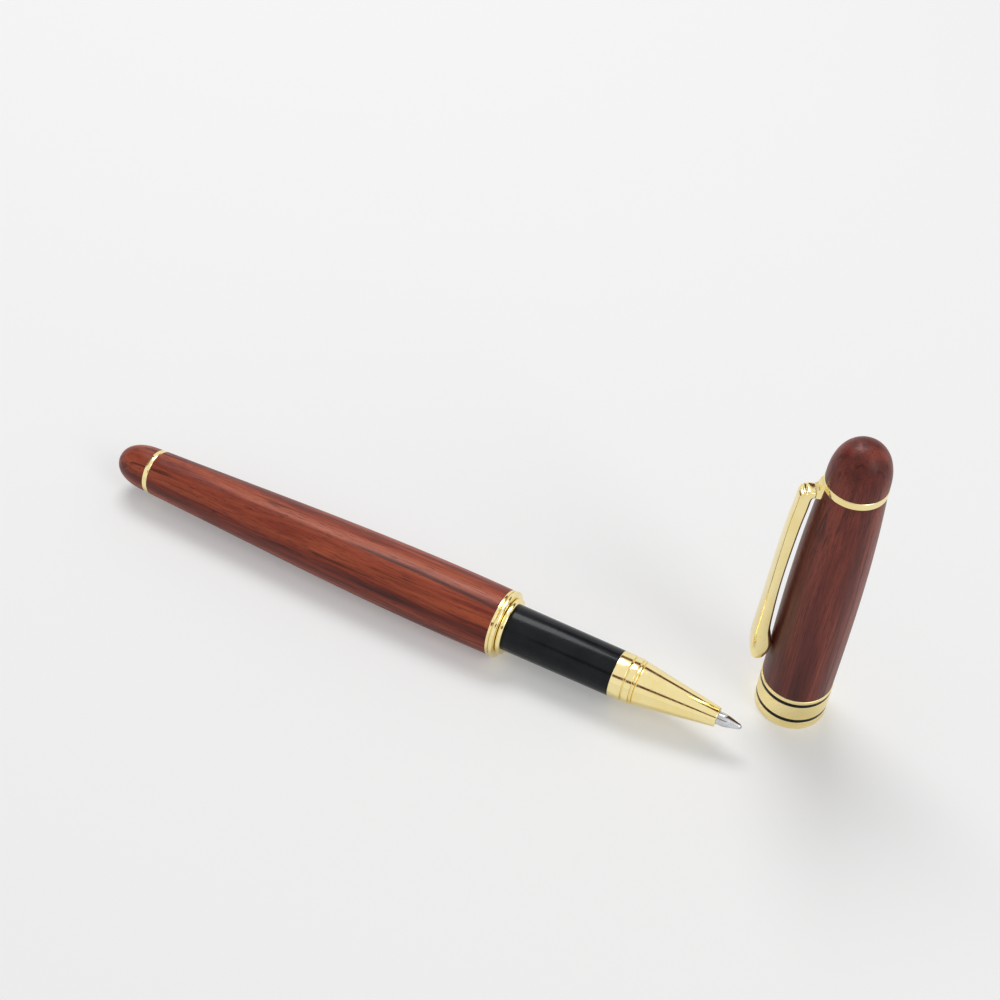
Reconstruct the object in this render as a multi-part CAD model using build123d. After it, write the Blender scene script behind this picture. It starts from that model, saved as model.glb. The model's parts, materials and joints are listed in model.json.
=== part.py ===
from build123d import *
import math
import os

# A capped rollerball pen: turned rosewood barrel and cap, gold-plated fittings, black grip.
# The open pen lies along +X with its writing tip at the +X end.  Its cap stands upright on
# its open rim beside the tip.  Millimetres, +Z up, the ground is z = 0, and the origin is
# the middle of the ground under the whole part.
#
# Stations (x) run along the pen from the rear face of the trim ring, positive to the tip.
# Heights (h) run up the cap from its open rim.

# ---------------------------------------------------------------- driving dimensions

# Refill: the standard metal-tipped rollerball cartridge
refill_length = 110.5
refill_radius = 3.0
refill_wall = 0.5
refill_collar = 5.0
refill_neck_radius = 1.9
refill_neck_length = 6.1
refill_plug_flange = 1.0
refill_plug_spigot = 4.6
feeder_spigot = 5.0
tip_radius = 1.16
tip_straight = 7.5
tip_cone = 2.7
tip_lip_radius = 0.45
tip_shank_radius = 0.8
tip_shank_length = 4.5
ball_radius = 0.35
ball_clearance = 0.02
ball_lip = 0.15
wick_radius = 0.4
wick_tail = 2.0
wick_setback = 1.9
spring_wire = 0.25
spring_radius = 2.5
spring_turns = 4

# Section: the front part that screws out of the barrel to change the refill
ring_gap = 0.05
section_bead_radius = 5.23
section_bead_width = 0.9
grip_length = 20.15
grip_rear_radius = 4.31
grip_front_radius = 4.17
section_tube_wall = 0.5
front_ring_radius = 4.18
front_ring_width = 2.3
nose_band_radius = 4.12
nose_band_width = 1.45
nose_groove = 0.18
nose_neck_radius = 3.88
nose_flange_radius = 4.02
nose_flange_width = 0.34
cone_length = 14.3
cone_rear_radius = 3.93
cone_front_radius = 1.73
cone_bore_radius = 1.26
nose_socket = 1.2

# Screw thread between section and barrel
thread_lead = 1.5
thread_turns = 4
thread_crest_radius = 3.95
thread_root_radius = 3.65
thread_base_width = 0.9
thread_crest_width = 0.3
thread_sink = 0.08
spigot_length = 9.0

# Barrel
belly_radius = 6.2
belly_station = -9.7
barrel_length = 72.4
barrel_front_radius = 6.08
barrel_mid_radius = 5.46
barrel_mid_station = -43.6
barrel_rear_radius = 4.30
barrel_tube_bore = 3.3
barrel_tube_wall = 0.35
socket_length = 11.0
socket_radius = 4.9
socket_floor = 1.5
socket_throat = 3.2
collar_width = 0.5
collar_radius = 6.08
bead_radius = 6.2
bead_width = 0.9
rear_ring_width = 1.1
rear_dome_length = 7.4
rear_dome_radius = 4.22
end_plug_thickness = 1.8

# Studs that hold the two domes
stud_radius = 1.4
stud_reach = 3.6
dome_fullness = 0.745

# Cap
cap_radius = 6.2
band_height = 7.5
band_wall = 1.45
groove_width = 0.7
groove_depth = 0.3
groove_heights = (2.2, 6.36)
inlay_setback = 0.02
mouth_depth = 1.0
mouth_radius = 5.35
snap_ring_height = 1.15
snap_ring_radius = 4.4
cap_sleeve_height = 45.7
cap_low_radius = 6.09
cap_belly_radius = 6.12
cap_belly_height = 21.0
cap_mid_radius = 5.8
cap_mid_height = 38.8
cap_top_radius = 4.92
cap_tube_bore = 4.45
cap_tube_wall = 0.3
cap_tube_top = band_height + cap_sleeve_height - 4.7
cap_plug_thickness = 2.0
liner_bottom = cap_tube_top - 16.5
liner_bore = 3.05
liner_flare_radius = 3.9
liner_flare_height = 3.0
liner_roof = 0.5
cap_ring_width = 1.4
cap_ring_radius = 4.98
cap_dome_length = 7.6
cap_dome_radius = 4.9

# Clip
clip_direction = 204.0
clip_drop = 2.0
clip_arm_thickness = 1.35
clip_bend_radius = 1.25
clip_inner_bend = 0.7
clip_top_width = 2.6
clip_low_width = 3.9
clip_top_reach = 8.25
clip_mid_reach = 9.05
clip_mid_height = 38.0
clip_low_reach = 9.4
clip_low_height = 26.0
clip_top_thickness = 2.0
clip_low_thickness = 1.95
clip_end_height = 11.4
clip_end_reach = 9.7
clip_foot_height = 16.4
clip_foot_clearance = 0.08
clip_ridge_count = 3
clip_ridge_width = 0.22
clip_ridge_depth = 0.14
clip_ridge_pitch = 0.5
tang_height = 0.8
tang_width = 1.7
tang_depth = 0.45
tang_clearance = 0.06
lug_width = 2.7
lug_gap = 0.2
lug_reach = 5.9

# Where the cap stands, measured from the trim ring's rear face
cap_ahead = 50.0
cap_aside = 14.5

# Named clearances
slip = 0.05
edge_round = 0.12

# ---------------------------------------------------------------- stations along the pen

section_start = collar_width + bead_width
section_bead_start = section_start + ring_gap
grip_start = section_bead_start + section_bead_width
grip_end = grip_start + grip_length
nose_start = grip_end + front_ring_width
cone_start = nose_start + nose_band_width + nose_groove + nose_flange_width + nose_groove
cone_end = cone_start + cone_length

barrel_rear = -barrel_length
rear_ring_start = barrel_rear - rear_ring_width
pen_rear = rear_ring_start - rear_dome_length
plug_face = barrel_rear + end_plug_thickness

collar_back = grip_end + 1.5
collar_front = collar_back + refill_collar
neck_front = collar_front + refill_neck_length
tip_shoulder = neck_front + tip_straight
tip_mouth = tip_shoulder + tip_cone
ball_station = tip_mouth - ball_lip
pen_tip = ball_station + ball_radius
refill_back = pen_tip - refill_length
reservoir_bore = refill_radius - refill_wall
reservoir_back = refill_back + refill_plug_flange + refill_plug_spigot
feeder_back = collar_back - feeder_spigot
wick_back = feeder_back - wick_tail
wick_front = tip_shoulder + tip_cone - wick_setback

section_bore = refill_radius + slip
section_tube_radius = section_bore + section_tube_wall
thread_bore = thread_crest_radius + slip
barrel_tube_radius = barrel_tube_bore + barrel_tube_wall

# ---------------------------------------------------------------- heights up the cap

cap_sleeve_top = band_height + cap_sleeve_height
cap_ring_top = cap_sleeve_top + cap_ring_width
cap_top = cap_ring_top + cap_dome_length
cap_plug_bottom = cap_tube_top - cap_plug_thickness
cap_tube_radius = cap_tube_bore + cap_tube_wall
snap_ring_top = mouth_depth + snap_ring_height
band_bore = cap_radius - band_wall

# ---------------------------------------------------------------- the shared frame

ground_to_axis = max(belly_radius, bead_radius)
cap_axis = Vector(cap_ahead, cap_aside, 0)
left_edge = pen_rear
right_edge = max(pen_tip, cap_ahead + cap_radius)
near_edge = -ground_to_axis
far_edge = cap_aside + cap_radius
centre_shift = Vector(-(left_edge + right_edge) / 2, -(near_edge + far_edge) / 2, 0)

PEN = Location(centre_shift + Vector(0, 0, ground_to_axis))
CAP = Location(centre_shift + cap_axis)


# ---------------------------------------------------------------- helpers

def turned_x(*edges):
    """A body of revolution about the pen's axis from edges drawn in (station, radius)."""
    return revolve(make_face(Wire(edges)), Axis.X, 360)


def turned_z(*edges):
    """A body of revolution about the cap's axis from edges drawn in (radius, height)."""
    face = make_face(Wire(edges))
    return revolve(Plane.XZ * face, Axis.Z, 360)


def path(*points):
    """Straight edges through the points, back to the first one."""
    return Polyline(*points, close=True).edges()


def tube_x(start, end, bore, radius):
    """A plain tube along the pen."""
    return turned_x(*path((start, bore), (end, bore), (end, radius), (start, radius)))


def tube_z(bottom, top, bore, radius):
    """A plain tube up the cap."""
    return turned_z(*path((bore, bottom), (radius, bottom), (radius, top), (bore, top)))


def bead_x(start, end, bore, foot, crest):
    """A ring whose outside is a half-round bead that rises from foot to crest."""
    middle = (start + end) / 2
    return turned_x(
        Line((start, bore), (end, bore)),
        Line((end, bore), (end, foot)),
        ThreePointArc((end, foot), (middle, crest), (start, foot)),
        Line((start, foot), (start, bore)),
    )


def rounded_outer(body, radius, size):
    """Rounds the circular edges of a turned piece that lie at the given radius."""
    rims = [e for e in body.edges() if e.geom_type == GeomType.CIRCLE and abs(e.radius - radius) < 1e-4]
    return fillet(rims, size)


def helix_sweep(section, pitch, height, radius):
    """A section swept along a helix about Z that starts at z = 0."""
    helix = Helix(pitch=pitch, height=height, radius=radius)
    plane = Plane(origin=helix @ 0, x_dir=(1, 0, 0), z_dir=helix % 0)
    return sweep(plane * section, path=helix, is_frenet=True)


def along_pen(body, station):
    """Lays a body built up from z = 0 along the pen, with its foot at the station."""
    return body.rotate(Axis.Y, 90).moved(Location((station, 0, 0)))


def make_dome(length, radius):
    """A turned wooden dome along +X from x = 0, with the blind hole for its stud."""
    hole = stud_radius + slip
    depth = stud_reach + slip
    return turned_x(
        Line((0, radius), (0, hole)),
        Line((0, hole), (depth, hole)),
        Line((depth, hole), (depth, 0)),
        Line((depth, 0), (length, 0)),
        Spline((length, 0), (length * dome_fullness, radius * dome_fullness), (0, radius),
               tangents=[(0, 1), (-1, 0)]),
    )


# ---------------------------------------------------------------- barrel

def make_barrel_sleeve():
    front = Line((barrel_rear, barrel_tube_radius), (-socket_length, barrel_tube_radius))
    step = Line((-socket_length, barrel_tube_radius), (-socket_length, socket_radius))
    seat = Line((-socket_length, socket_radius), (0, socket_radius))
    face = Line((0, socket_radius), (0, barrel_front_radius))
    outside = Spline(
        (0, barrel_front_radius),
        (belly_station, belly_radius),
        (barrel_mid_station, barrel_mid_radius),
        (barrel_rear, barrel_rear_radius),
    )
    rear = Line((barrel_rear, barrel_rear_radius), (barrel_rear, barrel_tube_radius))
    return turned_x(front, step, seat, face, outside, rear)


def make_barrel_tube():
    return tube_x(barrel_rear, -socket_length, barrel_tube_bore, barrel_tube_radius)


def make_socket():
    throat_end = -socket_length + socket_floor
    return turned_x(*path(
        (-socket_length, socket_throat),
        (throat_end, socket_throat),
        (throat_end, thread_bore),
        (0, thread_bore),
        (0, socket_radius),
        (-socket_length, socket_radius),
    ))


def make_centre_ring():
    collar = tube_x(0, collar_width, thread_bore, collar_radius)
    bead = bead_x(collar_width, section_start, thread_bore, collar_radius - 0.25, bead_radius)
    return collar + bead


def make_rear_ring():
    ring = tube_x(rear_ring_start, barrel_rear, stud_radius + slip, barrel_rear_radius)
    return rounded_outer(ring, barrel_rear_radius, edge_round)


def make_end_plug():
    head = tube_x(barrel_rear, plug_face, 0.6, barrel_tube_bore)
    stud = tube_x(rear_ring_start - stud_reach, barrel_rear, 0.6, stud_radius)
    return head + stud


def make_rear_finial():
    dome = make_dome(rear_dome_length, rear_dome_radius)
    return dome.rotate(Axis.Z, 180).moved(Location((rear_ring_start, 0, 0)))


def make_spring():
    room = refill_back - plug_face - 2 * spring_wire
    coil = helix_sweep(Circle(spring_wire), room / spring_turns, room, spring_radius)
    return along_pen(coil, plug_face + spring_wire)


# ---------------------------------------------------------------- refill

def make_refill_tube():
    return tube_x(refill_back + refill_plug_flange, collar_back, reservoir_bore, refill_radius)


def make_refill_plug():
    flange_end = refill_back + refill_plug_flange
    flange = tube_x(refill_back, flange_end, 0.3, refill_radius)
    spigot = tube_x(flange_end, flange_end + refill_plug_spigot, 0.3, reservoir_bore)
    return flange + spigot


def make_ink_reservoir():
    core = tube_x(reservoir_back, feeder_back, 0, reservoir_bore - slip)
    socket = tube_x(wick_back, feeder_back, 0, wick_radius + slip)
    return core - socket


def make_refill_feeder():
    bore = wick_radius + slip
    shank_back = neck_front - tip_shank_length
    return turned_x(*path(
        (feeder_back, bore),
        (shank_back, bore),
        (shank_back, tip_shank_radius),
        (neck_front, tip_shank_radius),
        (neck_front, refill_neck_radius),
        (collar_front + 0.4, refill_neck_radius),
        (collar_front, refill_radius),
        (collar_back, refill_radius),
        (collar_back, reservoir_bore),
        (feeder_back, reservoir_bore),
    ))


def make_refill_tip():
    bore = wick_radius + slip
    shank_back = neck_front - tip_shank_length
    throat = bore / 2
    body = turned_x(*path(
        (shank_back, bore),
        (wick_front, bore),
        (wick_front + 0.2, throat),
        (tip_mouth, throat),
        (tip_mouth, tip_lip_radius),
        (tip_shoulder, tip_radius),
        (neck_front, tip_radius),
        (neck_front, tip_shank_radius),
        (shank_back, tip_shank_radius),
    ))
    seat = Sphere(ball_radius + ball_clearance).moved(Location((ball_station, 0, 0)))
    return body - seat


def make_wick():
    return tube_x(wick_back, wick_front, 0, wick_radius)


def make_ball():
    return Sphere(ball_radius).moved(Location((ball_station, 0, 0)))


# ---------------------------------------------------------------- section

def make_section_tube():
    spigot = tube_x(-spigot_length, section_start, section_bore, thread_root_radius)
    carrier = tube_x(section_start, nose_start + nose_socket, section_bore, section_tube_radius)
    half_base = thread_base_width / 2
    half_crest = thread_crest_width / 2
    rise = thread_crest_radius - thread_root_radius
    profile = make_face(Polyline(
        (-thread_sink, -half_base),
        (rise, -half_crest),
        (rise, half_crest),
        (-thread_sink, half_base),
        close=True,
    ))
    ridge = helix_sweep(profile, thread_lead, thread_lead * thread_turns, thread_root_radius)
    ridge_start = -spigot_length + thread_base_width
    return spigot + carrier + along_pen(ridge, ridge_start)


def make_section_ring():
    return bead_x(section_bead_start, grip_start, section_tube_radius, section_bead_radius - 0.5,
                  section_bead_radius)


def make_grip():
    sleeve = turned_x(*path(
        (grip_start, section_tube_radius),
        (grip_end, section_tube_radius),
        (grip_end, grip_front_radius),
        (grip_start, grip_rear_radius),
    ))
    return sleeve


def make_front_ring():
    ring = tube_x(grip_end, nose_start, section_tube_radius, front_ring_radius)
    return rounded_outer(ring, front_ring_radius, edge_round)


def make_nose_cone():
    socket_end = nose_start + nose_socket
    band_start = nose_start + nose_groove
    band_end = band_start + nose_band_width - nose_groove
    flange_start = band_end + nose_groove
    flange_end = flange_start + nose_flange_width
    wide_end = collar_front + slip
    neck_start = wide_end + 0.4
    neck_bore = refill_neck_radius + 2 * slip
    neck_end = neck_front + slip
    return turned_x(*path(
        (nose_start, section_tube_radius),
        (socket_end, section_tube_radius),
        (socket_end, section_bore),
        (wide_end, section_bore),
        (neck_start, neck_bore),
        (neck_end, neck_bore),
        (neck_end + 0.4, cone_bore_radius),
        (cone_end, cone_bore_radius),
        (cone_end, cone_front_radius),
        (cone_start, cone_rear_radius),
        (flange_end, nose_neck_radius),
        (flange_end, nose_flange_radius),
        (flange_start, nose_flange_radius),
        (flange_start, nose_neck_radius),
        (band_end, nose_neck_radius),
        (band_end, nose_band_radius),
        (band_start, nose_band_radius),
        (band_start, nose_neck_radius),
        (nose_start, nose_neck_radius),
    ))


# ---------------------------------------------------------------- cap

def make_cap_band():
    body = turned_z(*path(
        (mouth_radius, 0),
        (cap_radius, 0),
        (cap_radius, band_height),
        (cap_tube_radius, band_height),
        (cap_tube_radius, snap_ring_top),
        (mouth_radius, snap_ring_top),
    ))
    body = rounded_outer(body, cap_radius, edge_round)
    for height in groove_heights:
        low = height - groove_width / 2
        body -= tube_z(low, low + groove_width, cap_radius - groove_depth, cap_radius + 1)
    return body


def make_cap_inlays():
    rings = []
    for height in groove_heights:
        low = height - groove_width / 2
        rings.append(tube_z(low, low + groove_width, cap_radius - groove_depth,
                            cap_radius - inlay_setback))
    return Compound(children=rings)


def make_snap_ring():
    return tube_z(mouth_depth, snap_ring_top, snap_ring_radius, mouth_radius)


def make_cap_tube():
    return tube_z(snap_ring_top, cap_tube_top, cap_tube_bore, cap_tube_radius)


def make_cap_sleeve():
    hole = stud_radius + slip
    outside = Spline(
        (cap_low_radius, band_height),
        (cap_belly_radius, cap_belly_height),
        (cap_mid_radius, cap_mid_height),
        (cap_top_radius, cap_sleeve_top),
    )
    return turned_z(
        Line((cap_tube_radius, band_height), (cap_low_radius, band_height)),
        outside,
        Line((cap_top_radius, cap_sleeve_top), (hole, cap_sleeve_top)),
        Line((hole, cap_sleeve_top), (hole, cap_tube_top)),
        Line((hole, cap_tube_top), (cap_tube_radius, cap_tube_top)),
        Line((cap_tube_radius, cap_tube_top), (cap_tube_radius, band_height)),
    )


def make_cap_liner():
    outer = cap_tube_bore - slip
    roof = cap_plug_bottom - liner_roof
    return turned_z(*path(
        (liner_flare_radius, liner_bottom),
        (outer, liner_bottom),
        (outer, cap_plug_bottom),
        (0, cap_plug_bottom),
        (0, roof),
        (liner_bore, roof),
        (liner_bore, liner_bottom + liner_flare_height),
    ))


def make_cap_plug():
    head = tube_z(cap_plug_bottom, cap_tube_top, 0, cap_tube_bore)
    stud = tube_z(cap_tube_top, cap_ring_top + stud_reach, 0, stud_radius)
    return head + stud


def make_cap_finial():
    dome = make_dome(cap_dome_length, cap_dome_radius)
    return dome.rotate(Axis.Y, -90).moved(Location((0, 0, cap_ring_top)))


# ---------------------------------------------------------------- clip

arm_middle = cap_ring_top - cap_ring_width / 2 - clip_drop
arm_top = arm_middle + clip_arm_thickness / 2
arm_low = arm_middle - clip_arm_thickness / 2
tang_root = lug_reach - tang_depth


def block(start, end, width, low, high):
    """A box from one reach to another, centred on the clip's plane."""
    middle = Location(((start + end) / 2, 0, (low + high) / 2))
    return Box(end - start, width, high - low).moved(middle)


def make_cap_ring():
    ring = tube_z(cap_sleeve_top, cap_ring_top, stud_radius + slip, cap_ring_radius)
    root = block(cap_ring_radius - 1, lug_reach, lug_width, cap_sleeve_top, cap_ring_top)
    drop = block(cap_ring_radius + lug_gap, lug_reach, lug_width, arm_low, cap_ring_top)
    drop = fillet(drop.edges().filter_by(Axis.Y).group_by(Axis.Z)[-1].sort_by(Axis.X)[-1], edge_round * 3)
    root = fillet(root.edges().filter_by(Axis.Y).group_by(Axis.Z)[-1].sort_by(Axis.X)[-1], edge_round * 3)
    slot = block(tang_root - tang_clearance, lug_reach + 1, tang_width + 2 * tang_clearance,
                 arm_middle - tang_height / 2 - tang_clearance,
                 arm_middle + tang_height / 2 + tang_clearance)
    return (ring + root + drop - slot).rotate(Axis.Z, clip_direction)


def clip_side():
    """The clip's outline in its own plane, drawn in (reach, height)."""
    foot_reach = cap_belly_radius + clip_foot_clearance
    arm_root = lug_reach + tang_clearance
    bend = clip_bend_radius
    corner = bend * (1 - math.sqrt(0.5))
    strip_top = arm_top - bend
    inner_mid = clip_mid_reach - (clip_top_thickness + clip_low_thickness) / 2
    inner_low = clip_low_reach - clip_low_thickness
    inner_top = clip_top_reach - clip_top_thickness
    inner_corner = arm_low - clip_inner_bend
    tip = (clip_end_reach - clip_low_thickness - 0.2, clip_end_height)
    return [
        Line((arm_root, arm_top), (clip_top_reach - bend, arm_top)),
        ThreePointArc((clip_top_reach - bend, arm_top),
                      (clip_top_reach - corner, arm_top - corner),
                      (clip_top_reach, strip_top)),
        Spline((clip_top_reach, strip_top),
               (clip_mid_reach, clip_mid_height),
               (clip_low_reach, clip_low_height),
               (clip_end_reach, clip_foot_height + 1.2),
               (clip_end_reach - 0.7, clip_end_height + 1.1),
               tip,
               tangents=[(0.3, -1), (-1, -0.15)]),
        Spline(tip,
               (foot_reach + 0.5, clip_foot_height - 2.4),
               (foot_reach, clip_foot_height),
               (foot_reach + 0.55, clip_foot_height + 2.0),
               (inner_low - 0.35, clip_foot_height + 4.0),
               (inner_low, clip_low_height + 2.0),
               (inner_mid, clip_mid_height),
               (inner_top, inner_corner),
               tangents=[(-1, 0.1), (-0.3, 1)]),
        Line((inner_top, inner_corner), (inner_top - clip_inner_bend / 2, arm_low)),
        Line((inner_top - clip_inner_bend / 2, arm_low), (arm_root, arm_low)),
        Line((arm_root, arm_low), (arm_root, arm_top)),
    ]


def clip_front():
    """The clip seen from in front: narrow at the top, wider downward, with a round end."""
    top_half = clip_top_width / 2
    half = clip_low_width / 2
    end_centre = clip_end_height + half
    head = arm_top + 1
    return [
        Line((-top_half, head), (-top_half, arm_low)),
        Line((-top_half, arm_low), (-half, end_centre)),
        ThreePointArc((-half, end_centre), (0, clip_end_height), (half, end_centre)),
        Line((half, end_centre), (top_half, arm_low)),
        Line((top_half, arm_low), (top_half, head)),
        Line((top_half, head), (-top_half, head)),
    ]


def make_clip():
    slab = extrude(Plane.XZ * make_face(Wire(clip_side())), clip_low_width / 2, both=True)
    front = extrude(Plane.YZ * make_face(Wire(clip_front())), clip_end_reach + 2)
    clip = slab & front
    for index in range(clip_ridge_count):
        reach = clip_top_reach - clip_bend_radius - index * clip_ridge_pitch
        clip -= block(reach - clip_ridge_width / 2, reach + clip_ridge_width / 2, clip_low_width,
                      arm_top - clip_ridge_depth, arm_top + 1)
    tang = block(tang_root, lug_reach + 2 * tang_clearance, tang_width,
                 arm_middle - tang_height / 2, arm_middle + tang_height / 2)
    return (clip + tang).rotate(Axis.Z, clip_direction)


# ---------------------------------------------------------------- build

pen_parts = {
    "barrel_sleeve": make_barrel_sleeve,
    "barrel_tube": make_barrel_tube,
    "barrel_socket": make_socket,
    "centre_ring": make_centre_ring,
    "rear_ring": make_rear_ring,
    "end_plug": make_end_plug,
    "rear_finial": make_rear_finial,
    "refill_spring": make_spring,
    "refill_tube": make_refill_tube,
    "refill_plug": make_refill_plug,
    "ink_reservoir": make_ink_reservoir,
    "refill_feeder": make_refill_feeder,
    "refill_tip": make_refill_tip,
    "ink_wick": make_wick,
    "writing_ball": make_ball,
    "section_tube": make_section_tube,
    "section_ring": make_section_ring,
    "grip_sleeve": make_grip,
    "front_ring": make_front_ring,
    "nose_cone": make_nose_cone,
}

cap_parts = {
    "cap_band": make_cap_band,
    "cap_inlays": make_cap_inlays,
    "cap_snap_ring": make_snap_ring,
    "cap_tube": make_cap_tube,
    "cap_sleeve": make_cap_sleeve,
    "cap_liner": make_cap_liner,
    "cap_plug": make_cap_plug,
    "cap_ring": make_cap_ring,
    "cap_finial": make_cap_finial,
    "clip": make_clip,
}


def build_all():
    """Every piece at its place in the shared frame, by node name."""
    placed = {name: make().moved(PEN) for name, make in pen_parts.items()}
    placed.update({name: make().moved(CAP) for name, make in cap_parts.items()})
    return placed


os.makedirs("parts", exist_ok=True)
for name, body in build_all().items():
    export_step(body, os.path.join("parts", f"{name}.step"))
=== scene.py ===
"""Looks of the rollerball pen: its turned wood, gold fittings, black grip and standing cap."""

import json
import logging
import math
from dataclasses import dataclass, field
from enum import Enum

import bmesh
import bpy
import numpy as np
from mathutils import Matrix, Vector


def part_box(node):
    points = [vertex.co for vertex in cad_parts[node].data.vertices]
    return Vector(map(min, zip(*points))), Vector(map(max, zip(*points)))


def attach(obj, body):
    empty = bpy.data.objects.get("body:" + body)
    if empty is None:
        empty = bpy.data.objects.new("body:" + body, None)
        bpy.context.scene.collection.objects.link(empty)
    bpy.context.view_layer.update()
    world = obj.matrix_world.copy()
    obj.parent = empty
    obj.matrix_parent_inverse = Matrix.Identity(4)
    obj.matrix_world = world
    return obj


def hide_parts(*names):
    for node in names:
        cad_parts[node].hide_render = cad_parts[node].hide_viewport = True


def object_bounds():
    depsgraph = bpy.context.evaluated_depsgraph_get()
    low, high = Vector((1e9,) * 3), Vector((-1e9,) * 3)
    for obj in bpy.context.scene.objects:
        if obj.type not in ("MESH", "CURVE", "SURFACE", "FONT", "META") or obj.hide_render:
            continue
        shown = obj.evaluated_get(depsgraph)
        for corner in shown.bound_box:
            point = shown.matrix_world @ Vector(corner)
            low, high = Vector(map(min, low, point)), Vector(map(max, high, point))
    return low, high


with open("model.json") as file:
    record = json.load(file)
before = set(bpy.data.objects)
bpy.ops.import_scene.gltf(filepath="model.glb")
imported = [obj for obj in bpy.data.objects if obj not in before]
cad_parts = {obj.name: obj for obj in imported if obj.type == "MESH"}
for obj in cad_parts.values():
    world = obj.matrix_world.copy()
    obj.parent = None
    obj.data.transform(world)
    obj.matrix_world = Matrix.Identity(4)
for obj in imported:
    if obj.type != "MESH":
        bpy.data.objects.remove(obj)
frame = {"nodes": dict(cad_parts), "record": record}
MODEL_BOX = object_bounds()

MM = 0.001
LOG = logging.getLogger("pen")
Point = tuple[float, float]
Triple = tuple[float, float, float]
Socket = bpy.types.NodeSocket


class Lie(Enum):
    """Which way a turned piece's axis runs."""

    ALONG_PEN = "x"
    UP_CAP = "z"


class Sheen(Enum):
    """How a metal surface was finished."""

    POLISHED = 0
    SATIN = 1


# ------------------------------------------------------------------ measuring the frame


def radius_of(node: str) -> float:
    """Radius in millimetres of a turned node, from its box.

    Args:
        node: name of a node turned about the pen's or the cap's axis.

    Returns:
        Half of its size across the Y axis, which both kinds share.
    """
    low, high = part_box(node)
    return (high[1] - low[1]) / 2 / MM


def span(node: str, lie: Lie) -> tuple[float, float]:
    """Where a node starts and ends along its axis.

    Args:
        node: name of the node.
        lie: the axis to measure along.

    Returns:
        The low and high ends in millimetres, in the row's frame.
    """
    low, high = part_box(node)
    axis = 0 if lie is Lie.ALONG_PEN else 2
    return low[axis] / MM, high[axis] / MM


def axis_matrix(lie: Lie) -> Matrix:
    """Takes a piece turned about X at the origin to its place.

    Args:
        lie: which axis the piece shares.

    Returns:
        A matrix for points in metres whose X is a station in the row's frame.
    """
    node = "centre_ring" if lie is Lie.ALONG_PEN else "cap_band"
    low, high = (Vector(v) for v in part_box(node))
    middle = (low + high) / 2
    if lie is Lie.ALONG_PEN:
        return Matrix.Translation((0, middle.y, middle.z))
    return Matrix.Translation((middle.x, middle.y, 0)) @ Matrix.Rotation(-math.pi / 2, 4, "Y")


@dataclass(frozen=True)
class ClipSide:
    """The side of the cap that the clip hangs on."""

    axis: Vector
    away: Vector
    side: Vector

    @classmethod
    def measured(cls) -> "ClipSide":
        """Reads it from the frame.

        Returns:
            The cap's axis in millimetres, the way out to the clip and the way across it.
        """
        clip = sum((Vector(corner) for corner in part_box("clip")), Vector()) / 2 / MM
        band = sum((Vector(corner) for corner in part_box("cap_band")), Vector()) / 2 / MM
        away = (clip - band).xy.to_3d().normalized()
        return cls(band.xy.to_3d(), away, Vector((-away.y, away.x, 0)))

    def spot(self, reach: float, across: float, height: float) -> Vector:
        """A point by its distance out from the axis, across and up.

        Args:
            reach: distance from the cap's axis towards the clip, in millimetres.
            across: distance to the side.
            height: height over the floor.

        Returns:
            The point in metres.
        """
        return (self.axis + self.away * reach + self.side * across + Vector((0, 0, height))) * MM


# ------------------------------------------------------------------ finishes


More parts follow.
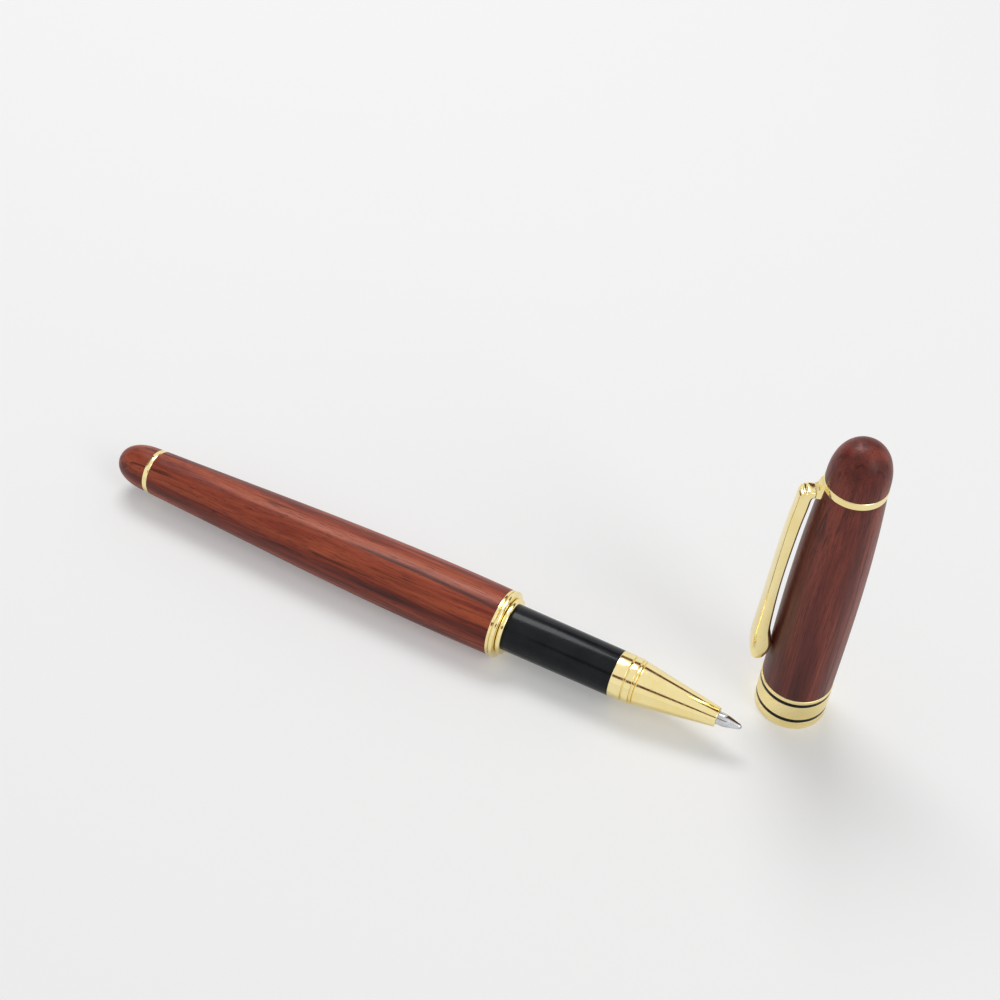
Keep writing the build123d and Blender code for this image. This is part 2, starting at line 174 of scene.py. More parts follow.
class Graph:
    """A small writer of shader nodes."""

    def __init__(self, name: str) -> None:
        """Makes an empty node material.

        Args:
            name: the material's name.
        """
        self.material = bpy.data.materials.new(name)
        self.material.use_nodes = True
        self.nodes = self.material.node_tree.nodes
        self.links = self.material.node_tree.links
        self.shader = self.nodes["Principled BSDF"]
        self.place = self.nodes.new("ShaderNodeTexCoord").outputs["Object"]

    def stretched(self, scale: Triple) -> Socket:
        """Object coordinates in repeats per millimetre.

        Args:
            scale: repeats per millimetre along X, Y and Z.

        Returns:
            The scaled coordinate.
        """
        mapping = self.nodes.new("ShaderNodeMapping")
        mapping.inputs["Scale"].default_value = [s / MM for s in scale]
        self.links.new(self.place, mapping.inputs["Vector"])
        return mapping.outputs["Vector"]

    def noise(self, where: Socket, detail: float, roughness: float = 0.55,
              distortion: float = 0.0) -> Socket:
        """Cloudy noise.

        Args:
            where: the coordinate.
            detail: number of octaves.
            roughness: weight of the finer octaves.
            distortion: how far the pattern is pulled about.

        Returns:
            The noise value.
        """
        node = self.nodes.new("ShaderNodeTexNoise")
        node.inputs["Scale"].default_value = 1.0
        node.inputs["Detail"].default_value = detail
        node.inputs["Roughness"].default_value = roughness
        node.inputs["Distortion"].default_value = distortion
        self.links.new(where, node.inputs["Vector"])
        return node.outputs["Fac"]

    def ramp(self, value: Socket,
             stops: list[tuple[float, Triple]]) -> Socket:
        """Turns a value into colour.

        Args:
            value: the driving value.
            stops: positions with their linear colours.

        Returns:
            The colour.
        """
        node = self.nodes.new("ShaderNodeValToRGB")
        elements = node.color_ramp.elements
        while len(elements) < len(stops):
            elements.new(0.5)
        for element, (position, colour) in zip(elements, stops):
            element.position = position
            element.color = (*colour, 1)
        self.links.new(value, node.inputs["Fac"])
        return node.outputs["Color"]

    def spread(self, value: Socket, low: float, high: float, to_low: float,
               to_high: float) -> Socket:
        """Maps one range of values onto another.

        Args:
            value: the value.
            low: start of the range read.
            high: end of the range read.
            to_low: result at low.
            to_high: result at high.

        Returns:
            The mapped value, held within its two ends.
        """
        node = self.nodes.new("ShaderNodeMapRange")
        for name, number in zip(("From Min", "From Max", "To Min", "To Max"), (low, high, to_low, to_high)):
            node.inputs[name].default_value = number
        self.links.new(value, node.inputs["Value"])
        return node.outputs["Result"]

    def blend(self, amount: Socket, first: Socket,
              second: Socket | Triple, kind: str = "MIX") -> Socket:
        """Mixes two colours.

        Args:
            amount: how much of the second.
            first: the first colour.
            second: a colour socket or a linear colour.
            kind: the blend mode.

        Returns:
            The mixed colour.
        """
        node = self.nodes.new("ShaderNodeMix")
        node.data_type = "RGBA"
        node.blend_type = kind
        self.links.new(amount, node.inputs[0])
        self.links.new(first, node.inputs[6])
        if isinstance(second, Socket):
            self.links.new(second, node.inputs[7])
        else:
            node.inputs[7].default_value = (*second, 1)
        return node.outputs[2]

    def bump(self, height: Socket, strength: float, depth_mm: float) -> None:
        """Adds relief to the surface, on top of any made before.

        Args:
            height: the height map.
            strength: how strongly it shows.
            depth_mm: its depth in millimetres.
        """
        node = self.nodes.new("ShaderNodeBump")
        node.inputs["Strength"].default_value = strength
        node.inputs["Distance"].default_value = depth_mm * MM
        self.links.new(height, node.inputs["Height"])
        held = self.shader.inputs["Normal"]
        if held.is_linked:
            self.links.new(held.links[0].from_socket, node.inputs["Normal"])
        self.links.new(node.outputs["Normal"], held)

    def set(self, **values: float) -> None:
        """Sets plain shader values.

        Args:
            **values: socket names with underscores for spaces.
        """
        for name, value in values.items():
            self.shader.inputs[name.replace("_", " ").title().replace("Ior", "IOR")].default_value = value

    def colour(self, socket: Socket) -> None:
        """Links socket to the base colour."""
        self.links.new(socket, self.shader.inputs["Base Color"])

    def roughness(self, socket: Socket) -> None:
        """Links socket to the roughness."""
        self.links.new(socket, self.shader.inputs["Roughness"])


@dataclass(frozen=True)
class Rosewood:
    """Lacquered rosewood with its grain along the turned axis."""

    name: str
    lie: Lie
    light: Triple
    middle: Triple
    dark: Triple
    vein: Triple
    coat: float = 0.12

    def along(self, length: float, across: float) -> Triple:
        """A scale stretched along the grain.

        Args:
            length: repeats per millimetre along the grain.
            across: repeats per millimetre across it.

        Returns:
            The scale in X, Y and Z.
        """
        return (length, across, across) if self.lie is Lie.ALONG_PEN else (across, across, length)

    def build(self) -> bpy.types.Material:
        """Writes the material: figure, veins, fibres and open pores under a thin lacquer.

        Returns:
            The node material.
        """
        g = Graph(self.name)
        figure = g.noise(g.stretched(self.along(0.02, 0.34)), 4, 0.6, 0.5)
        wood = g.ramp(figure, [(0.3, self.dark), (0.47, self.middle), (0.66, self.light)])
        veins = g.noise(g.stretched(self.along(0.014, 0.95)), 3, 0.5, 0.8)
        wood = g.blend(g.spread(veins, 0.56, 0.68, 0, 0.75), wood, self.vein)
        fibres = g.noise(g.stretched(self.along(0.1, 4.5)), 3, 0.65)
        shade = g.ramp(fibres, [(0.25, (0.58, 0.52, 0.5)), (0.6, (1.0, 1.0, 1.0)), (0.8, (1.16, 1.12, 1.1))])
        wood = g.blend(g.spread(fibres, 0, 1, 0.8, 0.8), wood, shade, "MULTIPLY")
        pores = g.spread(g.noise(g.stretched(self.along(0.3, 7.5)), 2, 0.5), 0.6, 0.68, 0, 0.75)
        wood = g.blend(pores, wood, tuple(0.35 * c for c in self.dark))
        g.colour(wood)
        g.roughness(g.spread(fibres, 0.3, 0.7, 0.5, 0.36))
        g.bump(g.spread(pores, 0, 0.75, 1, 0), 0.35, 0.03)
        g.bump(fibres, 0.12, 0.02)
        g.set(coat_weight=self.coat, coat_roughness=0.22, specular_ior_level=0.22)
        return g.material


@dataclass(frozen=True)
class GoldPlate:
    """Pale gold plate, polished or with fine satin lines round the turned axis."""

    name: str
    sheen: Sheen
    pale: Triple = (0.95, 0.81, 0.42)
    deep: Triple = (0.92, 0.76, 0.35)

    def build(self) -> bpy.types.Material:
        """Writes the material: tone, smears, lines and worn specks.

        Returns:
            The node material.
        """
        g = Graph(self.name)
        tone = g.noise(g.stretched((0.22, 0.22, 0.22)), 3, 0.6)
        g.colour(g.ramp(tone, [(0.35, self.deep), (0.62, self.pale)]))
        if self.sheen is Sheen.SATIN:
            lines = g.noise(g.stretched((0.12, 0.12, 16)), 3, 0.7)
            g.roughness(g.spread(lines, 0.3, 0.7, 0.24, 0.42))
            g.bump(lines, 0.25, 0.012)
        else:
            smears = g.noise(g.stretched((0.9, 0.9, 0.9)), 4, 0.6, 0.4)
            g.roughness(g.spread(smears, 0.35, 0.75, 0.07, 0.2))
        specks = g.noise(g.stretched((3.5, 3.5, 3.5)), 4, 0.75)
        g.bump(specks, 0.05, 0.02)
        g.set(metallic=1.0)
        return g.material


@dataclass(frozen=True)
class BareMetal:
    """Steel or brass straight from the lathe, with faint tool lines."""

    name: str
    lie: Lie
    bright: Triple
    dull: Triple
    smooth: float
    rough: float

    def build(self) -> bpy.types.Material:
        """Writes the material: tool lines round the axis and a little tarnish.

        Returns:
            The node material.
        """
        g = Graph(self.name)
        scale = (11, 0.2, 0.2) if self.lie is Lie.ALONG_PEN else (0.2, 0.2, 11)
        lines = g.noise(g.stretched(scale), 3, 0.7)
        tarnish = g.noise(g.stretched((0.5, 0.5, 0.5)), 4, 0.6)
        g.colour(g.ramp(tarnish, [(0.35, self.dull), (0.65, self.bright)]))
        g.roughness(g.spread(lines, 0.3, 0.7, self.smooth, self.rough))
        g.bump(lines, 0.12, 0.01)
        g.set(metallic=1.0)
        return g.material


@dataclass(frozen=True)
class Lacquer:
    """Gloss lacquer or enamel with slight orange peel and dust-fine scuffs."""

    name: str
    body: Triple
    worn: Triple
    gloss: float = 0.16

    def build(self) -> bpy.types.Material:
        """Writes the material: a deep colour, a ripple and faint scuffs.

        Returns:
            The node material.
        """
        g = Graph(self.name)
        depth = g.noise(g.stretched((0.3, 0.3, 0.3)), 3, 0.6)
        g.colour(g.ramp(depth, [(0.35, self.body), (0.75, self.worn)]))
        scuffs = g.noise(g.stretched((0.7, 5.0, 5.0)), 4, 0.7)
        g.roughness(g.spread(scuffs, 0.4, 0.75, self.gloss, self.gloss + 0.16))
        g.bump(g.noise(g.stretched((1.4, 1.4, 1.4)), 2), 0.05, 0.03)
        g.set(coat_weight=0.04, coat_roughness=0.06, specular_ior_level=0.14)
        return g.material


@dataclass(frozen=True)
class Moulded:
    """Moulded plastic or pressed fibre, with a grain of its own."""

    name: str
    body: Triple
    shade: Triple
    grain: float
    matt: float

    def build(self) -> bpy.types.Material:
        """Writes the material: a mottled colour and a fine grain.

        Returns:
            The node material.
        """
        g = Graph(self.name)
        mottle = g.noise(g.stretched((self.grain,) * 3), 4, 0.65)
        g.colour(g.ramp(mottle, [(0.35, self.shade), (0.65, self.body)]))
        g.roughness(g.spread(mottle, 0.3, 0.7, self.matt - 0.08, self.matt + 0.1))
        g.bump(mottle, 0.15, 0.02)
        return g.material


@dataclass
class Palette:
    """Every finish on the pen, by the slot that it dresses."""

    made: dict[str, bpy.types.Material] = field(default_factory=dict)

    def build(self) -> None:
        """Writes all the materials."""
        finishes = {
            "barrel_wood": Rosewood("barrel_rosewood", Lie.ALONG_PEN, (0.46, 0.095, 0.038),
                                    (0.25, 0.036, 0.016), (0.075, 0.010, 0.006), (0.035, 0.005, 0.004)),
            "cap_wood": Rosewood("cap_rosewood", Lie.UP_CAP, (0.30, 0.062, 0.038),
                                 (0.165, 0.028, 0.019), (0.085, 0.013, 0.010), (0.05, 0.008, 0.006)),
            "polished_gold": GoldPlate("polished_gold_plate", Sheen.POLISHED),
            "satin_gold": GoldPlate("satin_gold_plate", Sheen.SATIN),
            "brass": BareMetal("turned_brass", Lie.ALONG_PEN, (0.78, 0.57, 0.27),
                               (0.6, 0.41, 0.17), 0.2, 0.4),
            "black_lacquer": Lacquer("grip_lacquer", (0.006, 0.007, 0.009), (0.012, 0.014, 0.017)),
            "black_enamel": Lacquer("inlay_enamel", (0.002, 0.002, 0.002), (0.005, 0.005, 0.005), 0.3),
            "black_plastic": Moulded("liner_plastic", (0.02, 0.02, 0.021), (0.012, 0.012, 0.013), 1.6, 0.5),
            "white_plastic": Moulded("feeder_plastic", (0.74, 0.74, 0.72), (0.62, 0.62, 0.6), 1.2, 0.45),
            "ink_fibre": Moulded("inked_fibre", (0.02, 0.022, 0.07), (0.008, 0.009, 0.03), 5.0, 0.8),
            "spring_steel": BareMetal("spring_wire", Lie.ALONG_PEN, (0.62, 0.62, 0.63),
                                      (0.5, 0.5, 0.51), 0.2, 0.35),
            "refill_steel": BareMetal("refill_case_steel", Lie.ALONG_PEN, (0.66, 0.66, 0.67),
                                      (0.54, 0.54, 0.55), 0.22, 0.4),
            "tip_steel": BareMetal("tip_polished_steel", Lie.ALONG_PEN, (0.7, 0.71, 0.73),
                                   (0.5, 0.51, 0.53), 0.1, 0.24),
            "ball_carbide": BareMetal("ball_ground_carbide", Lie.ALONG_PEN, (0.36, 0.36, 0.38),
                                      (0.26, 0.26, 0.28), 0.12, 0.22),
        }
        self.made = {slot: finish.build() for slot, finish in finishes.items()}

    def dress_frame(self, record: dict) -> None:
        """Gives every carried-over node its finish.

        Args:
            record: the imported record, which names each node's slot.
        """
        for part in record["subparts"]:
            piece = frame["nodes"][part["node"]]
            piece.data.materials.clear()
            piece.data.materials.append(self.made[part["material_slot"]])


# ------------------------------------------------------------------ turned pieces


@dataclass(frozen=True)
class Corner:
    """One corner of a turned outline, in millimetres, and how far it is rounded."""

    station: float
    radius: float
    ease: float = 0.0


def eased_outline(corners: list[Corner], closed: bool) -> list[Point]:
    """Runs an outline through corners, easing each by a small curve.

    Args:
        corners: the corners in order.
        closed: whether the outline returns to its start.

    Returns:
        Points as (station, radius) in millimetres.
    """
    points: list[Point] = []
    count = len(corners)
    for index, corner in enumerate(corners):
        here = np.array((corner.station, corner.radius))
        inside = closed or 0 < index < count - 1
        if not inside or corner.ease <= 0:
            points.append(tuple(here))
            continue
        before, after = corners[index - 1], corners[(index + 1) % count]
        toward = []
        for other in (before, after):
            step = np.array((other.station, other.radius)) - here
            length = max(float(np.linalg.norm(step)), 1e-6)
            toward.append(here + step / length * min(corner.ease, 0.45 * length))
        for t in np.linspace(0, 1, 6):
            curve = (1 - t) ** 2 * toward[0] + 2 * t * (1 - t) * here + t ** 2 * toward[1]
            points.append(tuple(curve))
    if closed:
        points.append(points[0])
    return points


def ring_outline(low: float, high: float, bore: float, radius: float, low_ease: float,
                 high_ease: float) -> list[Point]:
    """The outline of a ring with rounded outer edges.

    Args:
        low: station where it starts.
        high: station where it ends.
        bore: radius of its hole.
        radius: its outer radius.
        low_ease: rounding of the outer edge at its start.
        high_ease: rounding of the outer edge at its end.

    Returns:
        Points as (station, radius) in millimetres.
    """
    return eased_outline([Corner(low, bore), Corner(low, radius, low_ease),
                          Corner(high, radius, high_ease), Corner(high, bore)], True)


class Lathe:
    """Turns outlines into solids with one Geometry Nodes tree."""

    def __init__(self, palette: Palette) -> None:
        """Builds the tree once.

        Args:
            palette: the finishes that the pieces wear.
        """
        self.palette = palette
        self.tree = bpy.data.node_groups.new("turned_solid", "GeometryNodeTree")
        self._sockets: dict[str, str] = {}
        self._write()

    def _write(self) -> None:
        """Writes the tree: a grid bent so that each row follows the outline round the axis."""
        tree = self.tree
        face = tree.interface
        face.new_socket("Outline", in_out="INPUT", socket_type="NodeSocketGeometry")
        for name, kind in (("Facets", "NodeSocketInt"), ("Merge Distance", "NodeSocketFloat"),
                           ("Finish", "NodeSocketMaterial")):
            self._sockets[name] = face.new_socket(name, in_out="INPUT", socket_type=kind).identifier
        face.new_socket("Solid", in_out="OUTPUT", socket_type="NodeSocketGeometry")
        link = tree.links.new
        entry = tree.nodes.new("NodeGroupInput")
        leave = tree.nodes.new("NodeGroupOutput")

        def maths(operation: str, first: Socket | float,
                  second: Socket | float | None = None) -> Socket:
            """One Math node.

            Args:
                operation: what it does.
                first: a socket or a number.
                second: a socket, a number, or nothing where it takes one value.

            Returns:
                Its result.
            """
            node = tree.nodes.new("ShaderNodeMath")
            node.operation = operation
            for socket, value in zip(node.inputs, (first, second)):
                if isinstance(value, Socket):
                    link(value, socket)
                elif value is not None:
                    socket.default_value = value
            return node.outputs[0]

        size = tree.nodes.new("GeometryNodeAttributeDomainSize")
        link(entry.outputs["Outline"], size.inputs[0])
        around = maths("ADD", entry.outputs["Facets"], 1.0)
        grid = tree.nodes.new("GeometryNodeMeshGrid")
        link(size.outputs["Point Count"], grid.inputs["Vertices X"])
        link(around, grid.inputs["Vertices Y"])
        index = tree.nodes.new("GeometryNodeInputIndex").outputs[0]
        row = maths("FLOOR", maths("DIVIDE", maths("ADD", index, 0.5), around))
        column = maths("SUBTRACT", index, maths("MULTIPLY", row, around))
        sample = tree.nodes.new("GeometryNodeSampleIndex")
        sample.data_type = "FLOAT_VECTOR"
        link(entry.outputs["Outline"], sample.inputs["Geometry"])
        link(tree.nodes.new("GeometryNodeInputPosition").outputs[0], sample.inputs["Value"])
        link(row, sample.inputs["Index"])
        split = tree.nodes.new("ShaderNodeSeparateXYZ")
        link(sample.outputs["Value"], split.inputs[0])
        angle = maths("DIVIDE", maths("MULTIPLY", column, 2 * math.pi), entry.outputs["Facets"])
        join = tree.nodes.new("ShaderNodeCombineXYZ")
        link(split.outputs["X"], join.inputs["X"])
        link(maths("MULTIPLY", split.outputs["Y"], maths("COSINE", angle)), join.inputs["Y"])
        link(maths("MULTIPLY", split.outputs["Y"], maths("SINE", angle)), join.inputs["Z"])
        bend = tree.nodes.new("GeometryNodeSetPosition")
        link(grid.outputs["Mesh"], bend.inputs["Geometry"])
        link(join.outputs[0], bend.inputs["Position"])
        merge = tree.nodes.new("GeometryNodeMergeByDistance")
        link(bend.outputs[0], merge.inputs["Geometry"])
        link(entry.outputs["Merge Distance"], merge.inputs["Distance"])
        smooth = tree.nodes.new("GeometryNodeSetShadeSmooth")
        link(merge.outputs[0], smooth.inputs["Geometry"])
        real = tree.nodes.new("GeometryNodeRealizeInstances")
        link(smooth.outputs[0], real.inputs[0])
        dress = tree.nodes.new("GeometryNodeSetMaterial")
        link(real.outputs[0], dress.inputs["Geometry"])
        link(entry.outputs["Finish"], dress.inputs["Material"])
        link(dress.outputs[0], leave.inputs[0])

    def turn(self, name: str, outline: list[Point], lie: Lie, finish: bpy.types.Material,
             facets: int = 144) -> bpy.types.Object:
        """Turns one outline into a finished piece.

        Args:
            name: the piece's name.
            outline: points as (station, radius) in millimetres.
            lie: which axis it is turned about.
            finish: its material.
            facets: how many facets go round.

        Returns:
            The piece, with its place in its mesh.
        """
        drawing = bpy.data.meshes.new(name + "_outline")
        drawing.from_pydata([(s * MM, r * MM, 0) for s, r in outline], [], [])
        carrier = bpy.data.objects.new(name + "_carrier", drawing)
        bpy.context.scene.collection.objects.link(carrier)
        modifier = carrier.modifiers.new("turn", "NODES")
        modifier.node_group = self.tree
        modifier[self._sockets["Facets"]] = facets
        modifier[self._sockets["Merge Distance"]] = 0.002 * MM
        modifier[self._sockets["Finish"]] = finish
        depsgraph = bpy.context.evaluated_depsgraph_get()
        mesh = bpy.data.meshes.new_from_object(carrier.evaluated_get(depsgraph), depsgraph=depsgraph)
        bpy.data.objects.remove(carrier)
        mesh.name = name
        shell = bmesh.new()
        shell.from_mesh(mesh)
        bmesh.ops.remove_doubles(shell, verts=shell.verts, dist=0.002 * MM)
        bmesh.ops.recalc_face_normals(shell, faces=shell.faces)
        shell.to_mesh(mesh)
        shell.free()
        mesh.transform(axis_matrix(lie))
        mesh.set_sharp_from_angle(angle=math.radians(38))
        piece = bpy.data.objects.new(name, mesh)
        bpy.context.scene.collection.objects.link(piece)
        return piece

    def fit(self, name: str, outline: list[Point], lie: Lie, body: str, node: str, slot: str,
            facets: int = 144) -> None:
        """Turns a piece and sets it on its body.

        Args:
            name: the piece's name.
            outline: points as (station, radius) in millimetres.
            lie: which axis it is turned about.
            body: the body that it moves with.
            node: the node that it stands for.
            slot: the record's material slot.
            facets: how many facets go round.
        """
        settle(self.turn(name, outline, lie, self.palette.made[slot], facets), body, node)


def settle(piece: bpy.types.Object, body: str, node: str) -> None:
    """Puts a finished piece on its body in place of its plain node.

    Args:
        piece: the piece.
        body: the body that it moves with.
        node: the node that it stands for.
    """
    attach(piece, body)
    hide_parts(node)
    LOG.info("%s stands for %s on %s", piece.name, node, body)


def flowing(points: list[Point], count: int) -> list[Point]:
    """A smooth curve of radius over station through a few points.

    Args:
        points: the points, as many as the curve's degree plus one.
        count: how many points to return.

    Returns:
        Points from the first station to the last.
    """
    stations, radii = np.array(points).T
    middle = stations.mean()
    curve = np.polyfit(stations - middle, radii, len(points) - 1)
    samples = np.linspace(stations[0], stations[-1], count)
    return [(float(s), float(r)) for s, r in zip(samples, np.polyval(curve, samples - middle))]


def dome(base: float, top: float, radius: float, fullness: float = 2.36, count: int = 40) -> list[Point]:
    """A full, rounded dome from its base to its pole.

    Args:
        base: station of its flat base.
        top: station of its pole.
        radius: radius at the base.
        fullness: exponent of the curve, 2 for an ellipse.
        count: number of points.

    Returns:
        Points from the base's rim to the pole.
    """
    points = []
    for turn in np.linspace(0, math.pi / 2, count):
        rise, reach = math.sin(turn) ** (2 / fullness), max(math.cos(turn), 0) ** (2 / fullness)
        points.append((base + (top - base) * rise, radius * reach))
    points[-1] = (top, 0.0)
    return points


# ------------------------------------------------------------------ the pen


@dataclass
class Barrel:
    """The wooden barrel with its dome, thin ring and trim ring."""

    lathe: Lathe
    front_radius: float = 6.08
    belly_back: float = 9.7
    mid_radius: float = 5.46
    mid_back: float = 43.6
    rim_ease: float = 0.12
    collar: float = 0.5
    trim_wall: float = 2.2
    thin_ring_wall: float = 1.5

    def sleeve(self) -> None:
        """Turns the wooden sleeve."""
        rear, front = span("barrel_sleeve", Lie.ALONG_PEN)
        bore = radius_of("barrel_tube")
        curve = flowing([(rear, radius_of("rear_ring")), (front - self.mid_back, self.mid_radius),
                         (front - self.belly_back, radius_of("centre_ring")),
                         (front, self.front_radius)], 60)
        outline = eased_outline([Corner(front, bore), Corner(rear, bore),
                                 Corner(*curve[0], ease=self.rim_ease),
                                 *[Corner(*p) for p in curve[1:-1]],
                                 Corner(*curve[-1], ease=self.rim_ease)], True)
        self.lathe.fit("barrel_wood_sleeve", outline, Lie.ALONG_PEN, "barrel", "barrel_sleeve",
                       "barrel_wood", 160)

    def rear(self) -> None:
        """Turns the dome and the thin gold ring before it."""
        end, start = span("rear_finial", Lie.ALONG_PEN)
        radius = radius_of("rear_finial")
        outline = [(start, 0.0), *dome(start, end, radius)]
        self.lathe.fit("rear_dome", outline, Lie.ALONG_PEN, "barrel", "rear_finial", "barrel_wood")
        low, high = span("rear_ring", Lie.ALONG_PEN)
        radius = radius_of("rear_ring")
        bore = radius - self.thin_ring_wall
        outline = ring_outline(low, high, bore, radius, 0.3, 0.3)
        self.lathe.fit("rear_gold_ring", outline, Lie.ALONG_PEN, "barrel", "rear_ring", "polished_gold")

    def trim(self) -> None:
        """Turns the trim ring: a flat collar and a rounded bead."""
        low, high = span("centre_ring", Lie.ALONG_PEN)
        crest = radius_of("centre_ring")
        bore = crest - self.trim_wall
        step = low + self.collar
        outline = eased_outline([
            Corner(low, bore), Corner(low, crest - 0.1, 0.1), Corner(step, crest - 0.12, 0.08),
            Corner(step, crest - 0.42, 0.06), Corner(step + 0.12, crest - 0.42, 0.05),
            Corner(step + 0.14, crest, 0.3), Corner(high, crest, 0.36), Corner(high, bore)], True)
        self.lathe.fit("trim_ring", outline, Lie.ALONG_PEN, "barrel", "centre_ring", "polished_gold", 160)

    def build(self) -> None:
        """Makes every piece of the barrel that shows."""
        self.sleeve()
        self.rear()
        self.trim()


@dataclass
class Section:
    """The front part that screws out: bead, grip, front ring and nose cone."""

    lathe: Lathe
    grip_front_radius: float = 4.17
    bead_wall: float = 1.6
    grip_wall: float = 0.55
    front_ring_wall: float = 0.6
    band_length: float = 1.45
    groove: float = 0.2
    flange: float = 0.34
    neck_radius: float = 3.68
    flange_radius: float = 4.02
    cone_radius: float = 3.93
    mouth_radius: float = 1.73
    mouth_bore: float = 1.26

    def bead(self) -> None:
        """Turns the smaller gold bead."""
        low, high = span("section_ring", Lie.ALONG_PEN)
        crest = radius_of("section_ring")
        bore = crest - self.bead_wall
        outline = ring_outline(low, high, bore, crest, 0.3, 0.38)
        self.lathe.fit("section_bead", outline, Lie.ALONG_PEN, "section", "section_ring", "polished_gold")

    def grip(self) -> None:
        """Turns the lacquered grip."""
        low, high = span("grip_sleeve", Lie.ALONG_PEN)
        rear = radius_of("grip_sleeve")
        bore = self.grip_front_radius - self.grip_wall
        outline = eased_outline([Corner(low, bore), Corner(low, rear, 0.08),
                                 Corner(high, self.grip_front_radius, 0.12), Corner(high, bore)], True)
        self.lathe.fit("black_grip", outline, Lie.ALONG_PEN, "section", "grip_sleeve", "black_lacquer")

    def front(self) -> None:
        """Turns the front ring and the nose cone with its band, groove and flange."""
        low, high = span("front_ring", Lie.ALONG_PEN)
        radius = radius_of("front_ring")
        bore = radius - self.front_ring_wall
        outline = ring_outline(low, high, bore, radius, 0.12, 0.14)
        self.lathe.fit("front_gold_ring", outline, Lie.ALONG_PEN, "section", "front_ring", "polished_gold")
        low, high = span("nose_cone", Lie.ALONG_PEN)
        band = radius_of("nose_cone")
        band_start = low + self.groove
        band_end = low + self.band_length
        flange_start = band_end + self.groove
        flange_end = flange_start + self.flange
        cone_start = flange_end + self.groove
        outline = eased_outline([
            Corner(low, self.neck_radius - 0.4), Corner(low, self.neck_radius),
            Corner(band_start, self.neck_radius, 0.03), Corner(band_start, band, 0.12),
            Corner(band_end, band, 0.12), Corner(band_end, self.neck_radius, 0.03),
            Corner(flange_start, self.neck_radius, 0.03), Corner(flange_start, self.flange_radius, 0.1),
            Corner(flange_end, self.flange_radius, 0.1), Corner(flange_end, self.neck_radius, 0.03),
            Corner(cone_start, self.cone_radius, 0.15), Corner(high, self.mouth_radius, 0.14),
            Corner(high, self.mouth_bore, 0.05), Corner(high - 3, self.mouth_bore)], True)
        self.lathe.fit("nose_cone_gold", outline, Lie.ALONG_PEN, "section", "nose_cone", "polished_gold")

    def build(self) -> None:
        """Makes every piece of the section that shows."""
        self.bead()
        self.grip()
        self.front()


@dataclass
class Refill:
    """The refill's steel writing tip."""

    lathe: Lathe
    shank: float = 4.5
    shank_radius: float = 0.8
    straight: float = 7.5
    bore: float = 0.2
    lip_radius: float = 0.45
    seat_radius: float = 0.34

    def build(self) -> None:
        """Turns the tip: straight, shouldered, then a cone down to the ball's lip."""
        low, high = span("refill_tip", Lie.ALONG_PEN)
        radius = radius_of("refill_tip")
        start = low + self.shank
        shoulder = start + self.straight
        outline = eased_outline([
            Corner(low, self.bore), Corner(low, self.shank_radius), Corner(start, self.shank_radius),
            Corner(start, radius, 0.05),
            Corner(shoulder, radius, 0.5), Corner(high - 0.3, self.lip_radius + 0.06, 0.2),
            Corner(high, self.lip_radius - 0.05, 0.05), Corner(high, self.seat_radius),
            Corner(high - 0.5, self.seat_radius), Corner(high - 0.7, self.bore)], True)
        self.lathe.fit("steel_tip", outline, Lie.ALONG_PEN, "refill", "refill_tip", "tip_steel", 96)


